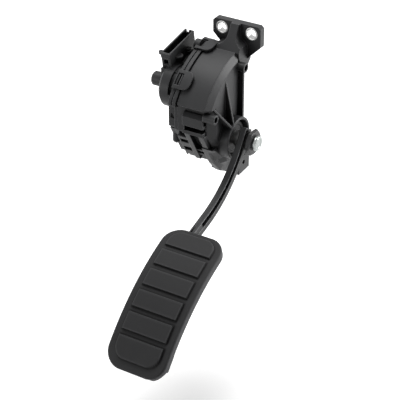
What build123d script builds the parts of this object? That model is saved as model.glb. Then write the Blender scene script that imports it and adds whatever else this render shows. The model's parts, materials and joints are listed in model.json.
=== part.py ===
from build123d import *
import os
from math import acos, cos, degrees, hypot, pi, radians, sin, sqrt, tan

# Accelerator pedal module, mm. Drawn about the middle of the dome: X along the
# pivot axis, the driver at -Y. The origin of the files is the middle of the two
# mounting holes on the rear mounting face.

# Mounting
mount_side = 22.0
mount_reach = 37.0
mount_drop = 92.0
pivot_y = 1.2
pivot_z = 2.3
hole_pitch = 30.0
plate_width = 48.6
plate_thick = 6.8
plate_rise = 7.8
plate_corner = 2.4
plate_left_drop = 6.0
plate_left_cut = 9.6
plate_right_drop = 11.6
plate_right_cut = 13.2
bush_od = 12.0
bush_bore = 9.0
bush_proud = 0.3
web_width = 8.0
web_top_proud = 3.2
web_foot_y = 15.0
web_foot_z = 78.0
lug_bottom = 59.0
lug_depth = 20.0

# Housing
dome_r = 79.0
rear_y = 20.5
lip_y = -38.5
lip_deg = 56.0
lip_z = 42.6
lip_edge = 1.0
front_y = -31.0
lip_root_z = 39.6
slope_top_z = 13.0
slope_foot = (-10.0, -22.0)
belly = (4.0, -31.0)
keel = (16.0, -38.0)
heel_z = -40.0
skin = 2.6
side_x = -11.0
band_x = -14.5
band_drop = 7.0
side_floor = 6.6
flange_x = -43.2
parting_x = -46.6
flange_rise = 1.5
seam_w = 1.3
seam_deep = 1.2
collar_r = 19.8
collar_thick = 2.2
collar_x = -2.0
rib_thick = 1.8
rib_tip_x = -2.6
rib_foot = 1.2
upright_rib_y = -6.0
upright_rib_top = 66.0
slant_rib_deg = 36.5
slant_rib_reach = 53.0
rear_rib_y = 15.5
rear_rib_x = -6.4
rear_rib_top = 61.0
boss_od = 8.8
boss_hole = 5.6
boss_deep = 9.0
upper_boss = (16.1, 65.5)
upper_boss_x = -4.0
lower_boss = (-32.5, 34.5)
lower_boss_x = -6.0
block_x = (-38.5, -17.5)
block_y = -36.5
block_z = (23.2, 32.0)
block_crown = 3.6
bar_z = (15.4, 18.8)
slot_end = 0.4
divider_x = -36.9
divider_w = 0.9
slope_rib_h = 4.0
slope_rib_w = 5.2
slope_ribs_x = (-36.3, -21.6)
slope_rib_end = -17.0
slope_recess = 1.4
cross_bars_z = ((-6.2, -4.4), (-12.6, -9.6))
cross_h = 2.6
frame_w = 1.4
frame_h = 3.0
frame_bars_z = ((6.4, 9.4), (-4.4, 1.4), (-14.4, -9.6))
corner_cut = ((-16.4, -31.0), (-9.6, -21.0))
corner_cut_z = (-24.0, 36.0)
bulge_x = (-23.0, -18.0, -12.0)
bulge_outer = ((-21.0, -12.0), (-15.6, -20.5), (-4.0, -33.4), (9.0, -40.5), (22.0, -45.0))
bulge_inner = ((-22.5, -3.0), (-14.0, -11.0), (-3.0, -20.5), (8.0, -30.0), (22.0, -38.0))
foot_x = (-40.0, -10.5)
foot_top_z = -31.0
foot_low_z = -46.0
foot_keel = (22.0, -47.0)
foot_hole = (26.5, -37.0)
foot_hole_r = 2.2
foot_core_x = ((-37.0, -27.0), (-24.0, -14.0))
foot_core_y = (25.0, 34.0)
foot_core_top = -40.5
lug_core_x = (-33.5, -14.0)
lug_core_z = (68.0, 79.0)
lug_core_deep = 12.0
latch_x = (-45.0, -37.6)
latch_y = (18.0, 28.0)
latch_z = (71.0, 79.0)

# Cover
joint_gap = 1.0
rim_width = 3.0
rim_low_inset = 1.2
cover_inset = 7.0
cover_front_inset = 5.0
cover_end_x = -59.0
cover_wall = 2.4
drum_end_x = -66.0
drum_root_x = -55.0
drum_spot = (-13.7, 47.5)
drum_r = 20.0
drum_round = 2.4
drum_join_z = 47.0
drum_core_z = 50.0
drum_neck_r = 17.2
drum_wall = 2.0
hump_spot = (13.0, 78.2)
hump_r = 5.4
hump_end_x = -53.4
nub_end_x = -82.0
nub_r = 6.6
nub_round = 1.2
tab_deg = (-41.0, -9.5)
tab_span_deg = 13.2
tab_x = -34.6
tab_thick = 1.8
tab_lift = 0.2
window_span_deg = 8.2
window_x = (-49.6, -43.8)
window_sink = 1.1
catch_x = (-46.2, -45.0)
window_gap = 0.6
catch_trim_deg = 0.5
tab_round = 6.0
tab_half_width = 9.0
tab_reach = 5.4
spigot_depth = 3.0
spigot_wall = 2.0
spigot_gap = 0.25
pivot_boss_r = 10.0
pivot_boss_end = -68.0
barrel_spot = (-57.0, -16.0)
barrel_r = 3.5
barrel_z = (-9.0, 3.0)
barrel_round = 2.0
pocket = ((-55.9, 27.0), (-57.0, 20.9), (-51.4, 20.4))
pocket_deep = 1.5
groove_z = (9.6, 11.6)
groove_in = 3.4

# Connector socket
socket_x = (-69.0, -59.8)
socket_y = (-22.0, 19.5)
socket_rise = 4.8
socket_tilt = 10.0
socket_deep = 16.0
socket_wall = 1.3
socket_root = 32.0
socket_lip = 0.8
socket_lip_deep = 4.8
gussets = ((-8.0, 4.6), (9.4, 3.2))
gusset_drop = 10.0
gusset_thick = 1.4
corner_post_r = 2.0
corner_post_h = 2.6
notch_x = (-3.0, 0.0)
notch_deep = 2.6
end_window_x = (-2.6, 2.2)
end_window_z = (-11.5, -6.6)
pin_count = 6
pin_pitch = 5.0
pin_size = (0.8, 2.6)
pin_drop = 11.0
pin_root = 3.0

# Pivot hardware
shaft_d = 12.0
shaft_end_x = -65.2
nose_d = 11.0
running_gap = 0.05
bearing_od = 15.0
right_bearing_x = (-20.0, -13.0)
left_bearing_x = (-65.5, -58.0)
seal_od = 19.0
seal_x = (-13.0, -11.0)
disc_r = 17.2
disc_x = (-8.0, -3.6)
sleeve_od = 15.0
arm_x = (0.4, 4.9)
arm_gap = 0.4
hex_flats = 21.4
hex_x = (10.4, 14.8)
neck_od = 14.0
hex_chamfer = 1.2
bolt_head_d = 14.6
bolt_head_h = 4.8
bolt_chamfer = 1.9
bolt_shank_d = 8.0
bolt_end_x = -14.0
clip_width = 1.2
clip_depth = 1.0
clip_rise = 2.0

# Gear drive to the sensor
gear_module = 1.5
sector_teeth = 49
pinion_teeth = 16
pressure_deg = 20.0
backlash = 0.3
dedendum = 1.25
half_depth = 0.5
sensor_dir_deg = 107.24
sector_first = -4
sector_last = 0
sector_x = (-54.8, -51.6)
sector_margin_deg = 3.6
pinion_x = (-55.3, -51.0)
post_r = 2.5
hub_r = 5.0
hub_end_x = -58.4
magnet_r = 8.0
magnet_thick = 1.6
board_thick = 1.4
board_r = 14.4
board_gap = 0.2
chip_size = (1.2, 5.0, 4.0)
chip_spot = 7.0

# Drum, springs and drag
drum_core_r = 9.0
drum_flange_r = 16.4
drum_flange_x = (-27.0, -20.6)
drum_disc_r = 11.4
outer_coil_r = 13.3
outer_wire = 2.4
inner_coil_r = 10.6
inner_wire = 1.8
coil_x = (-46.0, -29.0)
coil_turns = 4.0
coil_facets = 14
wire_sides = 6
shoe_gap = 0.3
shoe_thick = 3.0
shoe_half_deg = 24.0
shoe_x = (-26.5, -21.0)
drag_coil_r = 1.8
drag_wire = 0.8
drag_turns = 3.0
drag_gap = 1.2

# Arm
arm_depth = 11.3
arm_front = 11.5
arm_top = 13.4
head_r = 8.8
arm_dip_deg = 58.7
arm_lay_deg = 17.5
arm_bend_at = 41.7
arm_bend_r = 28.0
arm_end_run = 66.0
groove_from = 1.1
groove_to = 5.0
groove_deep = 3.0
groove_start = -11.6
groove_end = 19.0
slit_x = (1.5, 2.9)
slit_run = (52.0, 61.0)
slit_deep = 2.4
tongue_thick = 5.0
tongue_x = (-4.0, 18.0)
tongue_end_deg = 36.0

# Pad
pad_x = 13.9
pad_top = (-93.86, -45.13)
pad_r = 207.0
pad_deg = (16.3, 54.0)
pad_width = 56.4
pad_corner = 16.5
tread_thick = 4.6
base_thick = 3.0
base_inset = 1.5
lug_deg = (46.6, 51.0)
lug_wide = 6.0
lug_drop = 3.0
side_ribs_x = (-7.0, 32.0)
side_rib_w = 2.0
side_rib_h = 3.0
side_rib_deg = (20.0, 50.0)
cross_ribs_deg = (38.0, 46.0)
cross_rib_span_deg = 0.6
bar_x = 13.0
bar_width = 44.4
bar_rise = 2.2
bar_first_deg = 17.0
bar_edge_deg = 21.8
bar_pitch_deg = 5.76
bar_gap_deg = 1.2
bar_last_deg = 51.5
bar_corner = 11.0
bar_count = 6
pad_cut_deep = 50.0
screw_x = 5.8
screw_deg = (20.0, 32.0)
screw_head_d = 9.0
screw_head_h = 2.4
screw_shank_d = 4.0

dome_y = lip_y + dome_r * sin(radians(lip_deg))
os.makedirs("parts", exist_ok=True)
to_origin = Pos(mount_side, -mount_reach, -mount_drop)
at_pivot = Pos(0, pivot_y, pivot_z)


def write(name, shape):
    export_step(to_origin * shape, f"parts/{name}.step")


def turned(x0, x1, radius, y=0.0, z=0.0):
    rod = Cylinder(radius, x1 - x0, align=(Align.CENTER, Align.CENTER, Align.MIN))
    return Pos(x0, y, z) * Rot(0, 90, 0) * rod


def ring(x0, x1, outer, inner, y=0.0, z=0.0):
    return turned(x0, x1, outer, y, z) - turned(x0, x1, inner, y, z)


def slab(points, x0, x1):
    face = make_face(Polyline(*points, close=True))
    return extrude(Plane.YZ.offset(x0) * face, amount=x1 - x0)


def block(x, y, z):
    size = (x[1] - x[0], y[1] - y[0], z[1] - z[0])
    return Pos(x[0], y[0], z[0]) * Box(*size, align=(Align.MIN, Align.MIN, Align.MIN))


def polar(radius, angle):
    return (radius * cos(radians(angle)), radius * sin(radians(angle)))


def fan(x0, x1, inner, outer, start, end):
    mid = (start + end) / 2
    edges = [
        ThreePointArc(polar(outer, start), polar(outer, mid), polar(outer, end)),
        Line(polar(outer, end), polar(inner, end)),
        ThreePointArc(polar(inner, end), polar(inner, mid), polar(inner, start)),
        Line(polar(inner, start), polar(outer, start)),
    ]
    return extrude(Plane.YZ.offset(x0) * make_face(edges), amount=x1 - x0)


def dome_z(y, radius):
    return sqrt(radius**2 - (y - dome_y) ** 2)


def outline(grow):
    radius = dome_r + grow
    rear = rear_y + grow
    lip = lip_y - grow
    mid_y = (rear + lip) / 2
    top = dome_z(lip, radius)
    low = min(lip_z - grow, top - lip_edge)
    edges = [
        ThreePointArc(
            (rear, dome_z(rear, radius)),
            (mid_y, dome_z(mid_y, radius)),
            (lip, top),
        ),
        Polyline(
            (lip, top),
            (lip, low),
            (front_y - grow, min(lip_root_z - grow, low)),
            (front_y - grow, slope_top_z),
            (slope_foot[0] - grow, slope_foot[1]),
            (belly[0], belly[1] - grow),
            (keel[0] + grow, keel[1] - grow),
            (rear, heel_z - grow),
            (rear, dome_z(rear, radius)),
        ),
    ]
    return make_face(edges)


def shell(grow, x0, x1):
    return extrude(Plane.YZ.offset(x0) * outline(grow), amount=x1 - x0)


def cover_body(wall, x0, x1):
    drum = turned(x0, x1, dome_r - cover_inset - wall, dome_y, 0.0)
    return shell(-cover_front_inset - wall, x0, x1) & drum


sector_r = gear_module * sector_teeth / 2
pinion_r = gear_module * pinion_teeth / 2
sensor_run = polar(sector_r + pinion_r, sensor_dir_deg)
sensor_y = pivot_y + sensor_run[0]
sensor_z = pivot_z + sensor_run[1]
plate_front = mount_reach - plate_thick
plate_left = -mount_side - plate_width / 2
plate_right = -mount_side + plate_width / 2
plate_top = mount_drop + plate_rise
hole_left = -mount_side - hole_pitch / 2
hole_right = -mount_side + hole_pitch / 2
tab_r = dome_r + flange_rise + tab_lift

# Housing shell with a tapered band down to the side wall
housing = shell(0.0, parting_x, band_x)
band_from = Plane.YZ.offset(band_x) * outline(0.0)
band_to = Plane.YZ.offset(side_x) * outline(-band_drop)
housing += loft([band_from, band_to], ruled=True)
dome_half = block((cover_end_x, side_x), (-2 * dome_r, 2 * dome_r), (lip_root_z, 2 * dome_r))
housing += shell(flange_rise, parting_x, flange_x) & dome_half
seam = shell(0.0, flange_x, flange_x + seam_w) - shell(-seam_deep, flange_x, flange_x + seam_w)
housing -= seam & dome_half

# Rear block, mounting plate and web
left_foot = plate_left + plate_left_cut
right_foot = plate_right - plate_right_cut
web_face = [
    (plate_front - web_top_proud, plate_top),
    (mount_reach, plate_top),
    (mount_reach, lug_bottom + plate_thick),
    (mount_reach - plate_thick, lug_bottom),
    (lug_depth, lug_bottom),
    (web_foot_y, web_foot_z - skin),
    (web_foot_y, web_foot_z),
]
web = slab(web_face, left_foot, right_foot)
scoop_r = (hole_pitch - web_width) / 2
for hole_x, side in ((hole_left, -1), (hole_right, 1)):
    open_end = hole_x + side * plate_width
    web -= Pos(hole_x, plate_front, mount_drop) * Rot(90, 0, 0) * Cylinder(
        scoop_r, plate_width, align=(Align.CENTER, Align.CENTER, Align.MIN)
    )
    span_x = sorted((hole_x - side * scoop_r, open_end))
    web -= block(span_x, (web_foot_y - skin, plate_front), (mount_drop, plate_top + skin))
    span_x = sorted((hole_x, open_end))
    web -= block(span_x, (web_foot_y - skin, plate_front), (mount_drop - scoop_r, plate_top))
plate_points = [
    (plate_left + plate_corner, plate_top),
    (plate_right - plate_corner, plate_top),
    (plate_right, plate_top - plate_corner),
    (plate_right, mount_drop - plate_right_drop),
    (right_foot, mount_drop - plate_right_drop - plate_right_cut),
    (left_foot, mount_drop - plate_left_drop - plate_left_cut),
    (plate_left, mount_drop - plate_left_drop),
    (plate_left, plate_top - plate_corner),
]
plate_face = make_face(Polyline(*plate_points, close=True))
plate_plane = Plane((0, mount_reach, 0), x_dir=(1, 0, 0), z_dir=(0, -1, 0))
plate = extrude(plate_plane * plate_face, amount=plate_thick)
housing += web + plate

# Latch behind the dome
housing += block(latch_x, latch_y, latch_z)

# Front corner sloped back towards the side
cut_plane = Plane((0, 0, corner_cut_z[0]))
cut_face = Polyline(*corner_cut, (corner_cut[1][0], corner_cut[0][1]), close=True)
housing -= extrude(cut_plane * make_face(cut_face), amount=corner_cut_z[1] - corner_cut_z[0])

# Lower foot against the bulkhead
foot_points = [
    (rear_y - skin, foot_top_z),
    (mount_reach, foot_top_z),
    (mount_reach, foot_low_z),
    foot_keel,
    (rear_y - skin, foot_keel[1]),
]
housing += slab(foot_points, *foot_x)

# Belly bulging at the right, sloped in towards the side wall
bulge_back = ((foot_keel[0], 0.0), (front_y + skin, 0.0))
housing += slab(bulge_outer + bulge_back, bulge_x[0], bulge_x[1])
bulge_from = Plane.YZ.offset(bulge_x[1]) * make_face(Polyline(*bulge_outer, *bulge_back, close=True))
bulge_to = Plane.YZ.offset(bulge_x[2]) * make_face(Polyline(*bulge_inner, *bulge_back, close=True))
housing += loft([bulge_from, bulge_to], ruled=True)

# Collar, gussets and screw bosses on the side
housing += at_pivot * turned(band_x, collar_x, collar_r)
rib_root_z = pivot_z + sqrt(collar_r**2 - (upright_rib_y - pivot_y) ** 2) - rib_foot
upright = [
    (side_x - rib_foot, upright_rib_top),
    (rib_tip_x, rib_root_z + rib_foot),
    (rib_tip_x, rib_root_z),
    (side_x - rib_foot, rib_root_z),
]
rib_plane = Plane((0, upright_rib_y, 0), x_dir=(1, 0, 0), z_dir=(0, -1, 0))
housing += extrude(rib_plane * make_face(Polyline(*upright, close=True)), amount=rib_thick)
slant = [
    (side_x - rib_foot, slant_rib_reach),
    (rib_tip_x, collar_r),
    (rib_tip_x, collar_r - rib_foot),
    (side_x - rib_foot, collar_r - rib_foot),
]
slant_plane = Plane((0, rib_thick / 2, 0), x_dir=(1, 0, 0), z_dir=(0, -1, 0))
slant_rib = extrude(slant_plane * make_face(Polyline(*slant, close=True)), amount=rib_thick)
housing += at_pivot * Rot(slant_rib_deg, 0, 0) * slant_rib
rear_root = pivot_z + sqrt(collar_r**2 - (rear_rib_y - pivot_y) ** 2) - rib_foot
rear_rib = [
    (band_x, rear_rib_top),
    (rear_rib_x, rear_rib_top),
    (rear_rib_x, rear_root),
    (band_x, rear_root),
]
rear_plane = Plane((0, rear_rib_y, 0), x_dir=(1, 0, 0), z_dir=(0, -1, 0))
housing += extrude(rear_plane * make_face(Polyline(*rear_rib, close=True)), amount=-skin)
housing += turned(band_x, upper_boss_x, boss_od / 2, *upper_boss)
housing += turned(block_x[1], lower_boss_x, boss_od / 2, *lower_boss)

# Front block, bar and sloping ribs
block_points = [
    (front_y, block_z[0]),
    (block_y, block_z[0]),
    (block_y, block_z[1]),
    (block_y + block_crown, block_z[1] + block_crown),
    (front_y, block_z[1] + block_crown),
]
housing += slab(block_points, *block_x)
housing += block(block_x, (block_y, front_y), bar_z)
slope_dy = slope_foot[0] - front_y
slope_dz = slope_foot[1] - slope_top_z
slope_len = hypot(slope_dy, slope_dz)
out_y, out_z = slope_dz / slope_len, -slope_dy / slope_len


def on_slope(z, rise):
    y = front_y + slope_dy * (z - slope_top_z) / slope_dz
    return (y + out_y * rise, z + out_z * rise)


slope_points = [
    (front_y, bar_z[0]),
    (block_y, bar_z[0]),
    on_slope(slope_rib_end, slope_rib_h),
    on_slope(slope_rib_end, 0.0),
    (front_y, slope_top_z),
]
recess_points = [
    on_slope(slope_top_z, 0.0),
    on_slope(slope_rib_end, 0.0),
    on_slope(slope_rib_end, -slope_recess),
    on_slope(slope_top_z, -slope_recess),
]
for rib_x in slope_ribs_x:
    housing += slab(slope_points, rib_x, rib_x + slope_rib_w)
housing -= slab(recess_points, slope_ribs_x[0] + slope_rib_w, slope_ribs_x[1])
housing -= slab(recess_points, parting_x + frame_w, slope_ribs_x[0])


def slope_bar(low, high, rise):
    return [
        on_slope(high, -slope_recess),
        on_slope(high, rise),
        on_slope(low, rise),
        on_slope(low, -slope_recess),
    ]


for low, high in cross_bars_z:
    housing += slab(slope_bar(low, high, cross_h), slope_ribs_x[0], slope_ribs_x[1])
for low, high in frame_bars_z:
    housing += slab(slope_bar(low, high, frame_h), parting_x, slope_ribs_x[0])
frame_side = slope_bar(slope_rib_end, frame_bars_z[0][1], frame_h)
housing += slab(frame_side, parting_x, parting_x + frame_w)

# Hollow inside, holes and windows
cavity_end = side_x - side_floor
cavity = shell(-skin, parting_x, cavity_end)
bearing_boss = at_pivot * turned(right_bearing_x[0], cavity_end, bearing_od / 2 + skin)
housing = housing - cavity + bearing_boss
housing -= at_pivot * turned(side_x, collar_x, collar_r - collar_thick)
housing -= at_pivot * turned(seal_x[0], seal_x[1], seal_od / 2)
housing -= at_pivot * turned(right_bearing_x[0], right_bearing_x[1], bearing_od / 2)
for spot, rim_x in ((upper_boss, upper_boss_x), (lower_boss, lower_boss_x)):
    housing -= turned(rim_x - boss_deep, rim_x, boss_hole / 2, *spot)
for hole_x in (hole_left, hole_right):
    housing -= Pos(hole_x, mount_reach, mount_drop) * Rot(90, 0, 0) * Cylinder(
        bush_od / 2, plate_thick, align=(Align.CENTER, Align.CENTER, Align.MIN)
    )
housing -= turned(foot_x[0], foot_x[1], foot_hole_r, *foot_hole)
for core_x in foot_core_x:
    housing -= block(core_x, foot_core_y, (foot_keel[1], foot_core_top))
housing -= block(lug_core_x, (mount_reach - lug_core_deep, mount_reach), lug_core_z)
slot_x = (block_x[0] + slot_end, block_x[1] - slot_end)
housing -= block(slot_x, (front_y, front_y + skin), (bar_z[1], block_z[0]))
housing += block((divider_x, divider_x + divider_w), (block_y, front_y + skin), (bar_z[1], block_z[0]))
housing -= block(
    (block_x[1] - boss_deep, block_x[1]),
    (block_y + rib_thick, front_y),
    (block_z[0] + rib_thick, block_z[1] - rib_thick),
)
for centre in tab_deg:
    tab_room = fan(
        parting_x,
        tab_x + window_gap,
        dome_r + flange_rise,
        tab_r + tab_thick + window_gap,
        90 - centre - tab_span_deg / 2 - catch_trim_deg,
        90 - centre + tab_span_deg / 2 + catch_trim_deg,
    )
    housing -= Pos(0, dome_y, 0) * tab_room
    catch = fan(
        *catch_x,
        dome_r,
        tab_r + tab_thick - window_sink,
        90 - centre - window_span_deg / 2 + catch_trim_deg,
        90 - centre + window_span_deg / 2 - catch_trim_deg,
    )
    housing += Pos(0, dome_y, 0) * catch
write("main_housing", housing)

# Bushes in the plate
bush_length = plate_thick + bush_proud
bush = Cylinder(bush_od / 2, bush_length, align=(Align.CENTER, Align.CENTER, Align.MIN))
bush -= Cylinder(bush_bore / 2, bush_length, align=(Align.CENTER, Align.CENTER, Align.MIN))
bush = Rot(90, 0, 0) * bush
bushes = [Pos(x, mount_reach, mount_drop) * bush for x in (hole_left, hole_right)]
write("mounting_bushes", Compound(children=bushes))

# Cover: rim, recessed end, sensor drum and nub
rim_x = parting_x - joint_gap
rim_end = rim_x - rim_width
cover = shell(flange_rise, rim_end, rim_x) & dome_half
cover += shell(-rim_low_inset, rim_end, rim_x)
cover += cover_body(0.0, cover_end_x, rim_end)
cover += turned(cover_end_x, rim_end, drum_neck_r, sensor_y, sensor_z)
sensor_drum = turned(drum_end_x, drum_root_x, drum_r, *drum_spot)
cover += chamfer(sensor_drum.faces().sort_by(Axis.X)[0].edges(), drum_round)
below_join = block((drum_root_x, rim_end), (-2 * dome_r, rear_y), (-dome_r, drum_join_z))
cover += turned(drum_root_x, rim_end, drum_r, *drum_spot) & below_join
cover += turned(hump_end_x, rim_x, hump_r, *hump_spot)
nub = turned(nub_end_x, drum_end_x, nub_r, sensor_y, sensor_z)
cover += chamfer(nub.faces().sort_by(Axis.X)[0].edges(), nub_round)
cover += at_pivot * turned(pivot_boss_end, cover_end_x, pivot_boss_r)
barrel = Cylinder(barrel_r, barrel_z[1] - barrel_z[0], align=(Align.CENTER, Align.CENTER, Align.MIN))
barrel = chamfer(barrel.faces().sort_by(Axis.Z)[0].edges(), barrel_round)
cover += Pos(*barrel_spot, barrel_z[0]) * barrel
spigot = shell(-skin - spigot_gap, rim_x, parting_x + spigot_depth)
cover += spigot

# Recesses low on the cover's front
cover_front = front_y + cover_front_inset
pocket_plane = Plane((0, cover_front, 0), x_dir=(1, 0, 0), z_dir=(0, -1, 0))
cover -= extrude(pocket_plane * make_face(Polyline(*pocket, close=True)), amount=-pocket_deep)
cover -= block((cover_end_x, rim_end), (cover_front, cover_front + groove_in), groove_z)

# Connector socket standing on the cover
socket_mouth_z = dome_r + socket_rise
socket_mid = (sum(socket_x) / 2, sum(socket_y) / 2, socket_mouth_z)
tilt = Pos(*socket_mid) * Rot(socket_tilt, 0, 0)
half_x = (socket_x[1] - socket_x[0]) / 2
half_y = (socket_y[1] - socket_y[0]) / 2
shroud = tilt * block((-half_x, half_x), (-half_y, half_y), (-socket_root, 0.0))
shroud += tilt * block(
    (-half_x, half_x), (-half_y - socket_lip, -half_y), (-socket_lip_deep, 0.0)
)
root_z = (socket_mouth_z - socket_root, socket_mouth_z - socket_deep - skin)
root = block((socket_x[0], rim_end), socket_y, root_z)
mouth = tilt * block(
    (-half_x + socket_wall, half_x - socket_wall),
    (-half_y + socket_wall, half_y - socket_wall),
    (-socket_deep, socket_lip),
)
cover += shroud + root
for gusset_y, gusset_r in gussets:
    gusset = Cylinder(gusset_r, gusset_thick)
    cover += Pos(socket_x[1], gusset_y, socket_mouth_z - gusset_drop) * gusset

# Snap tabs over the housing flange
for centre in tab_deg:
    from_deg = 90 - centre - tab_span_deg / 2
    to_deg = 90 - centre + tab_span_deg / 2
    strap = fan(rim_end, tab_x, tab_r, tab_r + tab_thick, from_deg, to_deg)
    tab_y, tab_z = polar(tab_r, 90 - centre)
    tab_plane = Plane((rim_end, tab_y, tab_z), x_dir=(1, 0, 0), z_dir=(0, tab_y, tab_z))
    tab_shape = RectangleRounded(2 * (tab_x - rim_end), 2 * tab_half_width, tab_round)
    strap = strap & extrude(tab_plane * tab_shape, amount=tab_reach, both=True)
    strap += fan(rim_end, rim_x, dome_r, tab_r + tab_thick, from_deg, to_deg)
    pocket_deg = (90 - centre - window_span_deg / 2, 90 - centre + window_span_deg / 2)
    strap -= fan(rim_x, window_x[1], tab_r, tab_r + tab_thick, *pocket_deg)
    sunk_r = tab_r + tab_thick - window_sink
    strap -= fan(window_x[0], rim_x, sunk_r, tab_r + tab_thick, *pocket_deg)
    cover += Pos(0, dome_y, 0) * strap

# Hollow inside the cover
drum_floor = drum_end_x + drum_wall
cover -= cover_body(cover_wall, cover_end_x + cover_wall, rim_end + cover_wall)
cover -= shell(-skin - spigot_gap - spigot_wall, rim_end + cover_wall, parting_x + spigot_depth)
cover -= turned(drum_floor, rim_end, drum_neck_r - drum_wall, sensor_y, sensor_z)
below_core = block((drum_floor, drum_root_x), (-2 * dome_r, rear_y), (-dome_r, drum_core_z))
cover -= turned(drum_floor, drum_root_x - drum_wall, drum_r - drum_wall, *drum_spot) & below_core
cover += turned(drum_floor, pinion_x[1], post_r, sensor_y, sensor_z)
cover -= at_pivot * turned(left_bearing_x[0] - running_gap, cover_end_x + cover_wall, bearing_od / 2)
cover -= mouth
cover -= tilt * block(notch_x, (0.0, half_y), (-notch_deep, 0.0))
cover -= tilt * block(end_window_x, (-half_y - socket_lip, 0.0), end_window_z)
post_spot = Pos(-half_x - socket_wall, -half_y + corner_post_r, -corner_post_h / 2)
cover += tilt * post_spot * Cylinder(corner_post_r, corner_post_h)
pins = []
for i in range(pin_count):
    pin_y = (i - (pin_count - 1) / 2) * pin_pitch
    pins.append(
        tilt
        * block(
            (-pin_size[0] / 2, pin_size[0] / 2),
            (pin_y - pin_size[1] / 2, pin_y + pin_size[1] / 2),
            (-socket_deep - pin_root, -pin_drop),
        )
    )
for pin in pins:
    cover -= pin
write("sensor_cover", cover)
write("connector_pins", Compound(children=pins))

# Board and chips in the sensor drum
board_from = drum_floor + board_gap
board_to = board_from + board_thick
board = turned(board_from, board_to, board_r, sensor_y, sensor_z)
write("circuit_board", board - turned(board_from, board_to, post_r + board_gap, sensor_y, sensor_z))
chips = []
for side in (-1, 1):
    chip = Box(*chip_size, align=(Align.MIN, Align.CENTER, Align.CENTER))
    chips.append(Pos(board_to, sensor_y + side * chip_spot, sensor_z) * chip)
write("sensor_chips", Compound(children=chips))

# Seal cord round the spigot
seal_in = shell(-skin - spigot_gap, parting_x - joint_gap, parting_x)
seal_out = shell(-rim_low_inset - spigot_gap, parting_x - joint_gap, parting_x)
write("cover_seal", seal_out - seal_in)

# Bearings, seal and shaft
shaft_r = shaft_d / 2
write("right_bearing", at_pivot * ring(*right_bearing_x, bearing_od / 2, shaft_r + running_gap))
write("left_bearing", at_pivot * ring(*left_bearing_x, bearing_od / 2, shaft_r + running_gap))
write("shaft_seal", at_pivot * ring(*seal_x, seal_od / 2, shaft_r + running_gap))
clip_from = cover_end_x + cover_wall + arm_gap
clip_to = clip_from + clip_width
shaft = turned(shaft_end_x, arm_x[0], shaft_r) + turned(arm_x[0], hex_x[1] - arm_gap, nose_d / 2)
shaft -= turned(bolt_end_x, hex_x[1], bolt_shank_d / 2)
shaft -= ring(clip_from, clip_to, shaft_r, shaft_r - clip_depth)
write("pivot_shaft", at_pivot * shaft)
write("shaft_clip", at_pivot * ring(clip_from, clip_to, shaft_r + clip_rise, shaft_r - clip_depth))
write("hub_disc", at_pivot * ring(*disc_x, disc_r, shaft_r))
write("spacer_sleeve", at_pivot * ring(disc_x[1], arm_x[0], sleeve_od / 2, shaft_r))

# Six-sided collar and bolt outside the arm
hex_face = RegularPolygon(hex_flats / 2, 6, major_radius=False)
collar = extrude(Plane.YZ.offset(hex_x[0]) * hex_face, amount=hex_x[1] - hex_x[0])
collar = chamfer(collar.faces().sort_by(Axis.X)[-1].edges(), hex_chamfer)
collar += turned(arm_x[1], hex_x[0], neck_od / 2)
write("hex_collar", at_pivot * (collar - turned(arm_x[1], hex_x[1], nose_d / 2)))
head = turned(hex_x[1], hex_x[1] + bolt_head_h, bolt_head_d / 2)
head = chamfer(head.faces().sort_by(Axis.X)[-1].edges(), bolt_chamfer)
write("pivot_bolt", at_pivot * (head + turned(bolt_end_x, hex_x[1], bolt_shank_d / 2)))


# Gear outlines: flank half angle at a radius, from the involute
def flank_angle(teeth, radius):
    base = gear_module * teeth / 2 * cos(radians(pressure_deg))
    reach = max(radius, base)
    roll = acos(base / reach)
    pressure = radians(pressure_deg)
    thick = pi / (2 * teeth) + tan(pressure) - pressure - tan(roll) + roll
    return thick - backlash / (gear_module * teeth)


def tooth(teeth, at_deg, x0, x1):
    pitch = gear_module * teeth / 2
    root = pitch - dedendum * gear_module
    radii = (root - gear_module, root, pitch - half_depth * gear_module, pitch, pitch + gear_module)
    right = [polar(r, at_deg - degrees(flank_angle(teeth, r))) for r in radii]
    left = [polar(r, at_deg + degrees(flank_angle(teeth, r))) for r in radii]
    return slab(right + left[::-1], x0, x1)


sector_step = 360 / sector_teeth
sector_root = sector_r - dedendum * gear_module
fan_from = sensor_dir_deg + sector_first * sector_step - sector_margin_deg
fan_to = sensor_dir_deg + sector_last * sector_step + sector_margin_deg
drum = fan(*sector_x, shaft_r, sector_root, fan_from, fan_to)
for i in range(sector_first, sector_last + 1):
    drum += tooth(sector_teeth, sensor_dir_deg + i * sector_step, *sector_x)
drum += turned(sector_x[0], drum_flange_x[1], drum_core_r)
drum += turned(sector_x[1], coil_x[0] - outer_wire, drum_disc_r)
drum += turned(*drum_flange_x, drum_flange_r)
write("spring_drum", at_pivot * (drum - turned(sector_x[0], drum_flange_x[1], shaft_r)))

pinion_at = sensor_dir_deg + 180 + 180 / pinion_teeth
pinion_root = pinion_r - dedendum * gear_module
pinion = turned(*pinion_x, pinion_root)
for i in range(pinion_teeth):
    pinion += tooth(pinion_teeth, pinion_at + i * 360 / pinion_teeth, *pinion_x)
pinion += turned(hub_end_x, pinion_x[0], hub_r)
pinion -= turned(hub_end_x, pinion_x[1], post_r + running_gap)
at_sensor = Pos(0, sensor_y, sensor_z)
write("sensor_pinion", at_sensor * pinion)
write("sensor_magnet", at_sensor * ring(hub_end_x, hub_end_x + magnet_thick, magnet_r, hub_r))


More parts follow.
